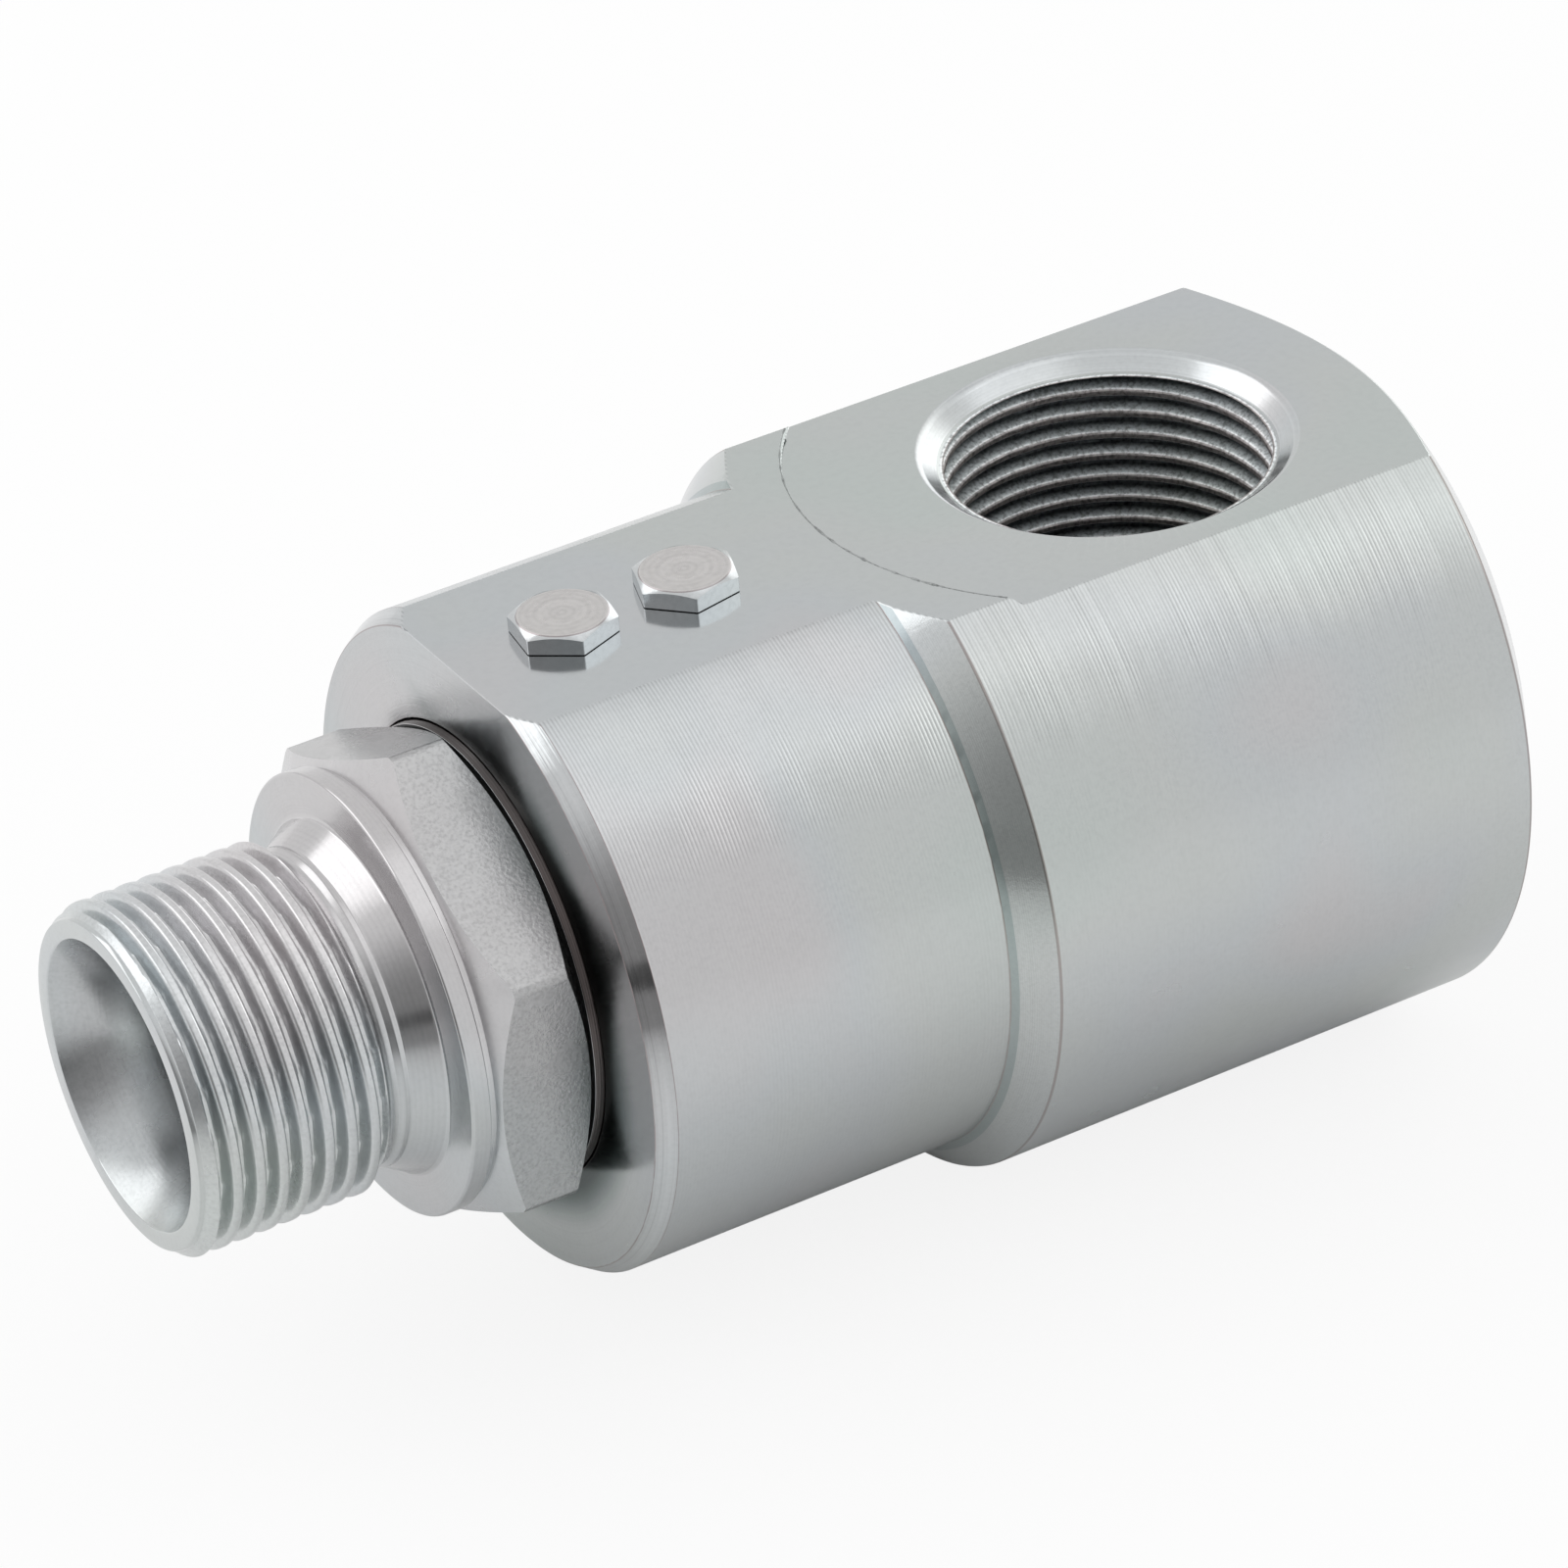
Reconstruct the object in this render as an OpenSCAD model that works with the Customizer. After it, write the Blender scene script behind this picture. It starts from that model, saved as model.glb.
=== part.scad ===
// Ninety degree hydraulic swivel joint with two ball races.
// The swivel axis is X: the spindle points to -X and the closed rear face is at X = 0.
// The side port opens toward +Z through the milled flat.

/* [Body] */
// Outside diameter of the rear part of the body
body_rear_d = 56; // [50:0.5:70]
// Outside diameter of the front part of the body
body_front_d = 50.6; // [46:0.2:60]
// Overall length of the body
body_len = 75.3; // [70:0.1:95]
// Distance from the rear face to the end of the step
step_from_rear = 44; // [40:0.5:48]
// Axial length of the sloped band of the step
step_slope_len = 2.6; // [1:0.1:4]
// Width across the radius of the small facet at the foot of the step
step_ledge = 0.6; // [0.3:0.05:1]
// Axial length of the small facet at the foot of the step
step_ledge_len = 0.4; // [0.1:0.05:0.8]
// Height of the milled flat above the swivel axis
flat_height = 23.2; // [21.8:0.1:24.4]
// Front chamfer measured along the axis
front_chamfer_len = 1.4; // [0.5:0.1:2.5]
// Front chamfer measured across the radius
front_chamfer_depth = 0.9; // [0.4:0.1:2]
// Rear chamfer measured along the axis
rear_chamfer_len = 3.5; // [1.5:0.1:4.5]
// Rear chamfer measured across the radius
rear_chamfer_depth = 5.6; // [2:0.1:7]

/* [Side port] */
// Distance from the rear face to the port axis
port_from_rear = 20.8; // [20:0.1:24]
// Diameter of the spotface around the port
spotface_d = 47.8; // [40:0.2:52]
// Depth of the spotface below the flat
spotface_depth = 0.5; // [0.2:0.05:1]
// Diameter of the countersink at the port mouth
port_countersink_d = 28.2; // [27:0.1:31]
// Depth of the countersink
port_countersink_depth = 1.25; // [0.6:0.05:2]
// Number of thread turns in the port
port_turns = 8; // [5:1:8]
// Diameter of the passage below the port thread
port_passage_d = 14; // [10:0.5:14]
// Diameter of the chamber between spindle end and port
chamber_d = 14.6; // [10:0.2:15]

/* [Pipe thread] */
// Major diameter of the parallel pipe thread
thread_major_d = 26.441; // [25.9:0.01:27]
// Pitch of the parallel pipe thread
thread_pitch = 1.814; // [1.6:0.001:2]
// Number of thread turns on the spindle
spindle_turns = 8; // [5:1:8]

/* [Spindle] */
// Distance from the body front face to the spindle end
spindle_reach = 29.5; // [28.6:0.1:34]
// Diameter of the bore through the spindle
bore_d = 14; // [10:0.5:15]
// Diameter of the cone seat at the mouth
seat_mouth_d = 22; // [20:0.1:23]
// Full angle of the cone seat
seat_angle = 60; // [50:1:74]
// Diameter of the neck behind the thread
neck_d = 24.2; // [22:0.1:25]
// Fillet radius between neck and collar
neck_fillet = 1.4; // [0.6:0.1:2]
// Diameter of the round collar in front of the hexagon
collar_d = 33.6; // [31:0.1:33.8]
// Axial length of the round collar with its relief
collar_len = 2.15; // [1.6:0.05:3]
// Width across the flats of the hexagon
hex_af = 34; // [34:0.5:38]
// Axial length of the hexagon
hex_len = 7.25; // [5:0.05:8]
// Turned position of the hexagon corner from upright
hex_turn = 6.3; // [0:0.1:30]
// Gap between the hexagon and the body
hex_gap = 0.9; // [0.5:0.05:2]
// Diameter of the shoulder that enters the front recess
shoulder_d = 33.6; // [32.5:0.1:33.8]
// Diameter of the shaft that carries the ball races
shaft_d = 30.4; // [29:0.1:31]
// Diameter of the seal journal
journal_d = 26; // [24.5:0.1:27]

/* [Front recess] */
// Diameter of the recess in the front face
recess_d = 34.6; // [34.2:0.1:37]
// Depth of the recess in the front face
recess_depth = 3.6; // [3.3:0.1:3.8]

/* [Ball races] */
// Diameter of the bearing balls
ball_d = 4; // [3.6:0.1:4.1]
// Number of balls in each race
balls_per_row = 23; // [12:1:23]
// Distance from the body front face to the front race
race_from_front = 9; // [8.4:0.1:9.6]
// Distance between the two races
race_spacing = 10; // [9:0.1:10.4]
// Clearance between a ball and its groove
race_clearance = 0.03; // [0.01:0.01:0.06]

/* [Filler screws] */
// Width across the flats of a screw head
screw_af = 7; // [6:0.1:8]
// Height of a screw head
screw_head_h = 1.5; // [1.2:0.1:3]
// Thread diameter of a filler screw
screw_d = 5; // [4.6:0.1:5.5]
// Thread pitch of a filler screw
screw_pitch = 0.8; // [0.5:0.05:0.8]
// Turned position of the front screw head
screw_front_turn = 22; // [0:1:60]
// Turned position of the rear screw head
screw_rear_turn = 12; // [0:1:60]
// Thickness of a race plug above the groove
plug_h = 1.4; // [1:0.1:1.6]
// Clearance around screws and plugs
screw_clearance = 0.05; // [0.02:0.01:0.1]

/* [Seals and guides] */
// Radial running clearance of spindle and rings
running_clearance = 0.06; // [0.02:0.01:0.09]
// Free gap on each side of a seal ring in its groove
ring_side_gap = 0.08; // [0.02:0.01:0.15]
// Section diameter of the dust seal ring
dust_section = 2; // [1.6:0.05:2.2]
// Section diameter of the grease seal ring
grease_section = 1.8; // [1.4:0.05:2]
// Axial length of a guide ring
guide_len = 2.2; // [1.5:0.1:2.4]
// Radial thickness of a guide ring
guide_t = 1.2; // [0.8:0.1:1.6]
// Radial thickness of the sliding pressure seal
slipper_t = 1; // [0.7:0.05:1.2]
// Section diameter of the energizer ring
energizer_section = 1.8; // [1.4:0.05:1.9]
// Thickness of a backup ring
backup_t = 1; // [0.6:0.05:1.2]
// Thickness of the thrust washer at the shaft step
thrust_t = 1; // [0.6:0.1:1.4]

/* [Hidden] */
$fn = 96;

// Radii and stations that follow from the values above
r_rear = body_rear_d / 2;
r_front = body_front_d / 2;
x_front = -body_len;
x_port = -port_from_rear;
z_spot = flat_height - spotface_depth;
thread_depth = 0.6403 * thread_pitch;
r_major = thread_major_d / 2;
r_minor = r_major - thread_depth;
thread_land = thread_pitch / 6;
r_bore = bore_d / 2;
r_shaft = shaft_d / 2;
r_shaft_bore = r_shaft + running_clearance;
r_journal = journal_d / 2;
r_journal_bore = r_journal + running_clearance;
r_recess = recess_d / 2;
r_shoulder = shoulder_d / 2;
r_collar = collar_d / 2;
r_hex = hex_af / sqrt(3);
r_neck = neck_d / 2;

// Stations of the spindle outside the body
x_end = x_front - spindle_reach;
x_hex_rear = x_front - hex_gap;
x_hex_front = x_hex_rear - hex_len;
x_collar = x_hex_front - collar_len;

// Stations of races, steps and grooves inside the body
x_race_front = x_front + race_from_front;
x_race_rear = x_race_front + race_spacing;
race_r = ball_d / 2 + race_clearance;
race_pitch_r = (r_shaft + r_shaft_bore) / 2;
x_recess_floor = x_front + recess_depth;
x_guide_front = x_recess_floor + 0.5;
x_grease = x_race_rear + race_r + 2;
x_step = x_grease + grease_section / 2 + 2;
x_guide_rear = x_step + 0.9;
x_stack = x_guide_rear + guide_len + 2 * ring_side_gap + 0.8;
slipper_len = energizer_section + 0.6;
stack_len = 2 * backup_t + slipper_len + 4 * ring_side_gap;
x_shaft_end = x_stack + stack_len + 2.4;
x_chamber = x_shaft_end + 0.8;
x_chamber_end = x_port + port_passage_d / 2 + 0.8;
chamber_r = chamber_d / 2;

// Radii of seal grooves
r_dust_mid = r_recess - running_clearance / 2 - dust_section / 2;
r_dust_root = r_dust_mid - dust_section / 2 - running_clearance / 2;
r_grease_mid = r_shaft_bore - running_clearance / 2 - grease_section / 2;
r_grease_root = r_grease_mid - grease_section / 2 - running_clearance / 2;
r_slipper_out = r_journal_bore - running_clearance / 2;
r_slipper_in = r_slipper_out - slipper_t;
r_energizer_mid = r_slipper_in - running_clearance / 2 - energizer_section / 2;
r_stack_root = r_energizer_mid - energizer_section / 2 - running_clearance / 2;
x_dust = x_recess_floor - 0.9 - dust_section / 2;

// Filler screw stations
screw_core_r = screw_d / 2 - 0.6134 * screw_pitch;
z_plug_base = race_pitch_r + 0.45 * race_r;
z_plug_top = race_pitch_r + race_r + plug_h;
plug_r = ball_d / 2 + 0.1;
screw_len = flat_height - z_plug_top - screw_clearance;
screw_ridges = floor((screw_len - 0.9) / screw_pitch);

// A turned body about the swivel axis from radius and station pairs
module turned(points) {
    rotate([0, 90, 0])
        rotate_extrude()
            polygon(points);
}

// A plain ring about the swivel axis
module ring(r_in, r_out, x_a, x_b) {
    turned([[r_in, x_a], [r_out, x_a], [r_out, x_b], [r_in, x_b]]);
}

// A ring of round section about the swivel axis
module round_ring(r_mid, section, x_mid) {
    rotate([0, 90, 0])
        rotate_extrude()
            translate([r_mid, x_mid])
                circle(d = section);
}

// Ridge points of a thread shown as separate turns, crest side outward
function ridges(count, start, pitch, r_low, r_high, land) = [
    for (i = [0 : count - 1])
        for (k = [0 : 3])
            [
                (k == 0 || k == 3) ? r_low : r_high,
                start + i * pitch + [-(pitch - land) / 2, -land / 2, land / 2, (pitch - land) / 2][k]
            ]
];

// The outside of the body before the flat is milled
module body_blank() {
    turned([
        [0, x_front],
        [r_front - front_chamfer_depth, x_front],
        [r_front, x_front + front_chamfer_len],
        [r_front, -step_from_rear - step_slope_len],
        [r_front + step_ledge, -step_from_rear - step_slope_len + step_ledge_len],
        [r_rear, -step_from_rear],
        [r_rear, -rear_chamfer_len],
        [r_rear - rear_chamfer_depth, 0],
        [0, 0]
    ]);
}

// Stepped bore from the front face to the chamber
module body_bore() {
    turned([
        [0, x_front - 1],
        [r_recess, x_front - 1],
        [r_recess, x_recess_floor],
        [r_shaft_bore + 0.4, x_recess_floor],
        [r_shaft_bore, x_recess_floor + 0.4],
        [r_shaft_bore, x_step],
        [r_journal_bore + 0.4, x_step],
        [r_journal_bore, x_step + 0.4],
        [r_journal_bore, x_chamber],
        [chamber_r, x_chamber],
        [chamber_r, x_chamber_end],
        [0, x_chamber_end + chamber_r * 0.3]
    ]);
}

// Port thread, countersink and passage cut from the spotface
module port_cut() {
    top = z_spot - port_countersink_depth;
    first = top - thread_pitch * 0.45;
    bottom = first - (port_turns - 0.5) * thread_pitch;
    drop = (r_minor - port_passage_d / 2) * tan(30);
    translate([x_port, 0, 0])
        rotate_extrude()
            polygon(concat(
                [[0, 0], [port_passage_d / 2, 0], [port_passage_d / 2, bottom - drop], [r_minor, bottom]],
                [for (q = ridges(port_turns, first - (port_turns - 1) * thread_pitch, thread_pitch,
                    r_minor, r_major, thread_land)) q],
                [
                    [r_minor + 0.1, top],
                    [port_countersink_d / 2, z_spot],
                    [port_countersink_d / 2, z_spot + 1],
                    [0, z_spot + 1]
                ]
            ));
}

// Hole for one filler screw and its race plug
module filler_hole(x_mid) {
    translate([x_mid, 0, z_plug_top])
        cylinder(r = screw_d / 2 + screw_clearance, h = flat_height);
    translate([x_mid, 0, race_pitch_r])
        cylinder(r = plug_r + screw_clearance, h = z_plug_top - race_pitch_r + 0.1);
}

module housing() {
    color([0.72, 0.75, 0.76])
        difference() {
            body_blank();
            translate([x_front - 1, -r_rear - 1, flat_height])
                cube([body_len + 2, body_rear_d + 2, r_rear]);
            translate([x_port, 0, z_spot])
                cylinder(d = spotface_d, h = r_rear);
            body_bore();
            port_cut();
            round_ring(race_pitch_r, 2 * race_r, x_race_front);
            round_ring(race_pitch_r, 2 * race_r, x_race_rear);
            filler_hole(x_race_front);
            filler_hole(x_race_rear);
        }
}

// Outside of the spindle from the threaded end to the collar face
function neck_arc() = [
    for (i = [0 : 6])
        [
            r_neck + neck_fillet * (1 - cos(i * 15)),
            x_collar - neck_fillet * (1 - sin(i * 15))
        ]
];

// Threaded end, neck and collar
module spindle_front() {
    x_thread = x_end + 1.5;
    x_thread_end = x_thread + (spindle_turns - 0.5) * thread_pitch;
    r_end = r_minor + 0.4;
    turned(concat(
        [[0, x_end], [r_end, x_end], [r_end + 0.15, x_end + 0.25], [r_minor, x_end + 0.6]],
        ridges(spindle_turns, x_thread, thread_pitch, r_minor, r_major, thread_land),
        [[r_minor - 0.25, x_thread_end + 0.3], [r_minor - 0.25, x_thread_end + 1.1], [r_neck, x_thread_end + 1.4]],
        neck_arc(),
        [
            [r_collar - 0.25, x_collar],
            [r_collar, x_collar + 0.25],
            [r_collar, x_hex_front - 0.75],
            [r_collar - 0.35, x_hex_front - 0.6],
            [r_collar - 0.35, x_hex_front - 0.15],
            [r_collar - 0.1, x_hex_front + 0.1],
            [0, x_hex_front + 0.1]
        ]
    ));
}

// Hexagon with both ends turned to thirty degrees
module spindle_hex() {
    wide = r_hex + 1;
    drop_front = (wide - hex_af / 2 + 0.1) * tan(30);
    drop_rear = (wide - hex_af / 2) * tan(30);
    intersection() {
        translate([x_hex_front, 0, 0])
            rotate([0, 90, 0])
                rotate([0, 0, hex_turn])
                    cylinder(r = r_hex, h = hex_len, $fn = 6);
        turned([
            [0, x_hex_front],
            [hex_af / 2 - 0.1, x_hex_front],
            [wide, x_hex_front + drop_front],
            [wide, x_hex_rear - drop_rear],
            [hex_af / 2, x_hex_rear],
            [0, x_hex_rear]
        ]);
    }
}

// Shoulder, race shaft and seal journal inside the body
module spindle_rear() {
    g = ring_side_gap;
    difference() {
        turned([
            [0, x_hex_rear - 0.1],
            [r_shoulder, x_hex_rear - 0.1],
            [r_shoulder, x_recess_floor - 0.3],
            [r_shaft, x_recess_floor - 0.3],
            [r_shaft, x_step - thrust_t - 0.1],
            [r_journal, x_step - thrust_t - 0.1],
            [r_journal, x_shaft_end - 0.8],
            [r_journal - 0.8, x_shaft_end],
            [0, x_shaft_end]
        ]);
        ring(r_dust_root, r_recess + 1, x_dust - dust_section / 2 - g, x_dust + dust_section / 2 + g);
        round_ring(race_pitch_r, 2 * race_r, x_race_front);
        round_ring(race_pitch_r, 2 * race_r, x_race_rear);
        ring(r_shaft - guide_t, r_shaft + 1, x_guide_front - g, x_guide_front + guide_len + g);
        ring(r_grease_root, r_shaft + 1, x_grease - grease_section / 2 - g, x_grease + grease_section / 2 + g);
        ring(r_journal - guide_t, r_journal + 1, x_guide_rear - g, x_guide_rear + guide_len + g);
        ring(r_stack_root, r_journal + 1, x_stack - g, x_stack + stack_len + g);
    }
}

module spindle() {
    color([0.7, 0.72, 0.73])
        difference() {
            union() {
                spindle_front();
                spindle_hex();
                spindle_rear();
            }
            spindle_bore();
        }
}

// Through bore with the cone seat at its mouth
module spindle_bore() {
    seat_len = (seat_mouth_d - bore_d) / 2 / tan(seat_angle / 2);
    turned([
        [0, x_end - 1],
        [seat_mouth_d / 2 + tan(seat_angle / 2), x_end - 1],
        [r_bore, x_end + seat_len],
        [r_bore, x_shaft_end - 0.6],
        [r_bore + 1.2, x_shaft_end + 0.6],
        [0, x_shaft_end + 0.6]
    ]);
}

// One row of balls, each a solid of its own
module ball_row(x_mid) {
    for (i = [0 : balls_per_row - 1])
        rotate([(i + 0.5) * 360 / balls_per_row, 0, 0])
            translate([x_mid, 0, race_pitch_r])
                sphere(d = ball_d);
}

module balls_front() {
    color([0.6, 0.61, 0.63])
        ball_row(x_race_front);
}

module balls_rear() {
    color([0.6, 0.61, 0.63])
        ball_row(x_race_rear);
}

// Hexagon head screw with a plain point, standing on the flat
module filler_screw(x_mid, turn) {
    r_corner = screw_af / sqrt(3);
    lift = flat_height;
    translate([x_mid, 0, 0]) {
        intersection() {
            translate([0, 0, lift])
                rotate([0, 0, turn])
                    cylinder(r = r_corner, h = screw_head_h, $fn = 6);
            translate([0, 0, lift])
                rotate_extrude()
                    polygon([
                        [0, 0],
                        [r_corner + 0.5, 0],
                        [r_corner + 0.5, screw_head_h - (r_corner + 0.5 - screw_af * 0.48) * tan(25)],
                        [screw_af * 0.48, screw_head_h],
                        [0, screw_head_h]
                    ]);
        }
        rotate_extrude()
            polygon(concat(
                [[0, lift - screw_len], [screw_core_r - 0.2, lift - screw_len], [screw_core_r, lift - screw_len + 0.2]],
                ridges(screw_ridges, lift - screw_len + 0.35 + screw_pitch / 2, screw_pitch,
                    screw_core_r, screw_d / 2, screw_pitch / 6),
                [[screw_core_r, lift], [screw_core_r, lift + 0.1], [0, lift + 0.1]]
            ));
    }
}

module filler_screw_front() {
    color([0.74, 0.76, 0.77])
        filler_screw(x_race_front, screw_front_turn);
}

module filler_screw_rear() {
    color([0.74, 0.76, 0.77])
        filler_screw(x_race_rear, screw_rear_turn);
}

// Plug whose hollow end completes the race under a filler screw
module race_plug(x_mid) {
    difference() {
        translate([x_mid, 0, z_plug_base])
            cylinder(r = plug_r, h = z_plug_top - z_plug_base);
        round_ring(race_pitch_r, 2 * race_r, x_mid);
    }
}

module race_plug_front() {
    color([0.55, 0.56, 0.58])
        race_plug(x_race_front);
}

module race_plug_rear() {
    color([0.55, 0.56, 0.58])
        race_plug(x_race_rear);
}

module dust_seal_ring() {
    color([0.08, 0.08, 0.09])
        round_ring(r_dust_mid, dust_section, x_dust);
}

module guide_ring_front() {
    color([0.45, 0.3, 0.18])
        ring(r_shaft - guide_t + running_clearance / 2, r_shaft + running_clearance / 2,
            x_guide_front, x_guide_front + guide_len);
}

module grease_seal_ring() {
    color([0.08, 0.08, 0.09])
        round_ring(r_grease_mid, grease_section, x_grease);
}

module thrust_washer() {
    color([0.78, 0.6, 0.3])
        ring(r_journal + 0.5, r_shaft, x_step - thrust_t, x_step);
}

module guide_ring_rear() {
    color([0.45, 0.3, 0.18])
        ring(r_journal - guide_t + running_clearance / 2, r_journal + running_clearance / 2,
            x_guide_rear, x_guide_rear + guide_len);
}

module backup_ring_front() {
    color([0.9, 0.88, 0.8])
        ring(r_stack_root + running_clearance / 2, r_slipper_out, x_stack, x_stack + backup_t);
}

module pressure_seal() {
    color([0.25, 0.4, 0.35])
        ring(r_slipper_in, r_slipper_out, x_stack + backup_t + 2 * ring_side_gap,
            x_stack + backup_t + 2 * ring_side_gap + slipper_len);
}

module energizer_ring() {
    color([0.08, 0.08, 0.09])
        round_ring(r_energizer_mid, energizer_section, x_stack + stack_len / 2);
}

module backup_ring_rear() {
    color([0.9, 0.88, 0.8])
        ring(r_stack_root + running_clearance / 2, r_slipper_out,
            x_stack + stack_len - backup_t, x_stack + stack_len);
}

housing();
spindle();
balls_front();
balls_rear();
filler_screw_front();
filler_screw_rear();
race_plug_front();
race_plug_rear();
dust_seal_ring();
guide_ring_front();
grease_seal_ring();
thrust_washer();
guide_ring_rear();
backup_ring_front();
pressure_seal();
energizer_ring();
backup_ring_rear();
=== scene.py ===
"""Looks of the right-angle hydraulic swivel joint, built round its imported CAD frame."""

import math

import bmesh
import bpy
import numpy as np
from mathutils import Matrix, Vector


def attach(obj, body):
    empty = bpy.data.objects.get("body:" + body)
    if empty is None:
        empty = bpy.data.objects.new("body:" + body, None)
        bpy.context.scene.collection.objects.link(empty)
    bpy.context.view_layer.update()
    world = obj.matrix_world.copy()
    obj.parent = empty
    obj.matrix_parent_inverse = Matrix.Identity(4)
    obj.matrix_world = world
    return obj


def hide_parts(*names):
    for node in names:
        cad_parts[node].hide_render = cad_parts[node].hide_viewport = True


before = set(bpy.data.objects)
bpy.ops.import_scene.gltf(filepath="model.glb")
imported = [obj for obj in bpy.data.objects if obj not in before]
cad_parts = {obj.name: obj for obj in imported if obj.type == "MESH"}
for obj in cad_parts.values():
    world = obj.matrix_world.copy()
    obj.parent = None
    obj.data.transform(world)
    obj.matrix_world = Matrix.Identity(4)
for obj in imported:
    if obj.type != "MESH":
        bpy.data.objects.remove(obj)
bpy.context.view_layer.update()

# Lengths below are in millimetres. Blender's own unit is the metre.
MM = 0.001

# Outside of the body, with the swivel axis along X and the closed rear face at zero
R_REAR = 28.0
R_FRONT = 25.3
X_FRONT = -75.3
X_STEP_TOP = -44.0
X_STEP_FOOT = -46.6
STEP_LEDGE = (0.4, 0.6)
REAR_CHAMFER = (3.5, 5.6)
FRONT_CHAMFER = (1.4, 0.9)
FLAT_Z = 23.2
RIM_WIDTH = 0.1

# Spotface and side port
SPOT_Z = 22.7
SPOT_R = 23.9
PORT_X = -20.8
SINK_R = 14.1
SINK_BOTTOM_Z = 21.45
PORT_TOP_GROOVE_Z = 20.634
PORT_THREAD_END_Z = 7.03
PORT_CONE_LEN = 2.92
PASSAGE_R = 7.0
BURR_ANGLES = (139.5, 220.5)

# Bores of the body, each with its lead-in
RECESS_R = 17.3
LIP_R = 17.45
LIP_DEPTH = 1.0
RECESS_FLOOR_X = -71.7
SHAFT_BORE_R = 15.26
JOURNAL_BORE_R = 13.06
LEAD_IN = 0.4
BORE_STEP_X = -49.37
CHAMBER_X = -37.4
CHAMBER_END_X = -13.0
CHAMBER_R = 7.3

# Ball races and filler screws
RACE_X = (-66.3, -56.3)
RACE_PITCH_R = 15.23
RACE_R = 2.03
SCREW_HOLE_R = 2.55
PLUG_HOLE_R = 2.15
PLUG_TOP_Z = 18.66
SCREW_AF = 7.0
SCREW_CORNER = 0.08
SCREW_HEAD_H = 1.5
SCREW_GAP = 0.07
SCREW_CROWN_ANGLE = 25
SCREW_TURN = (22.0, 12.0)
SCREW_ROOT_R = 2.01
SCREW_THREAD_DEPTH = 0.47
SCREW_PITCH = 0.8

# Pipe thread of the spindle and of the port. Fullness above 1 widens the crests.
PITCH = 1.814
CREST_R = 13.2205
ROOT_R = 12.059
MALE_FULLNESS = 1.9
PORT_FULLNESS = 0.75

# Outside of the spindle
END_X = -104.8
BORE_R = 7.0
SEAT_R = 11.0
SEAT_ANGLE = 30
END_FACE_R = 12.35
LEAD_R = 12.5
THREAD_ORIGIN_X = -103.10
THREAD_END_X = -89.8
RELIEF_X = -88.75
RELIEF_R = 11.84
NECK_X = (-88.3, -87.9)
NECK_R = 12.1
NECK_SPREAD = 1.4
COLLAR_X = (-85.6, -84.1, -83.98, -83.4)
COLLAR_R = 16.8
COLLAR_STEP = 0.3
HEX_X = (-83.45, -76.2)
HEX_FRONT_EXTRA = 0.3
HEX_AF = 34.0
HEX_CORNER = 0.42
HEX_END_ANGLE = 30
HEX_TURN = 36.3
HUB_X = -83.2
HUB_R = 16.2
SHOULDER_GROOVE = 0.26
SHOULDER_R = 17.35
SHOULDER_TAPER = 0.16

# Inside end of the spindle. A seat is (front, rear, radius of its floor).
DUST_SEAT = (-74.68, -72.52, 15.24)
FLANGE_REAR_X = -72.0
SHAFT_R = 15.2
GUIDE_FRONT_SEAT = (-71.28, -68.92, 14.0)
GREASE_SEAT = (-53.25, -51.29, 13.40)
SHAFT_END_X = -50.47
JOURNAL_R = 13.0
GUIDE_REAR_SEAT = (-48.55, -46.19, 11.8)
PRESSURE_SEAT = (-45.39, -40.51, 10.17)
SPINDLE_REAR_X = -38.2
REAR_END_CHAMFER = 0.8

FINISHES = (
    "turned_rear", "turned_front", "milled", "polished", "faced", "front_face", "port_thread",
    "bore", "male_thread", "neck", "collar_face", "hexagon", "cone_seat", "shoulder", "sink",
    "screw", "screw_top_front", "screw_top_rear", "burr", "edge", "hexagon_chamfer", "rim",
    "step", "facet",
)

# Camera, in metres and millimetres of lens, from a fit to the photograph
CAMERA_PLACE = (-0.28340, -0.44255, 0.30940)
CAMERA_RIGHT = (0.85896, -0.50624, -0.07689)
CAMERA_UP = (0.32165, 0.41661, 0.85027)
CAMERA_LENS = 184.97
SENSOR_WIDTH = 36.0

# Studio. A patch is its aim (azimuth, elevation), its inner and outer angle, and its strength.
WALL_LEVEL = 0.86
DARK_SIDE = ((-43, 3), 6, 54, 0.67)
DARK_CORE = ((-41, 0), 6, 8.5, 0.75)
BRIGHT_PATCHES = (((62, 62), 10, 27, 0.3), ((120, 16), 10, 27, 0.9), ((60, 33), 10, 17, 0.9))
SOFTBOX_PLACE = (-0.676, 0.526, 0.736)
SOFTBOX_AIM = (-0.05, 0.0, 0.0)
SOFTBOX_SIZE = (1.1, 0.64)
SOFTBOX_WATTS = 2.1
FLOOR_HALF_SIZE = 4.0
FLOOR_COLOR = 0.92
FLOOR_GLOW = 0.86
# Painted glow of the floor under the spindle, seen only in reflections
FLOOR_GLOW_NEAR_SPINDLE = 0.16


def principled(name, color, metallic, roughness):
    """A new material with its Principled node, and the node's tree."""
    material = bpy.data.materials.new(name)
    material.use_nodes = True
    tree = material.node_tree
    shader = tree.nodes["Principled BSDF"]
    shader.inputs["Base Color"].default_value = (*color, 1)
    shader.inputs["Metallic"].default_value = metallic
    shader.inputs["Roughness"].default_value = roughness
    return material, tree, shader


def greys(*stops):
    """Stops of a colour ramp from pairs (place, grey level)."""
    return [(place, (level,) * 3) for place, level in stops]


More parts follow.
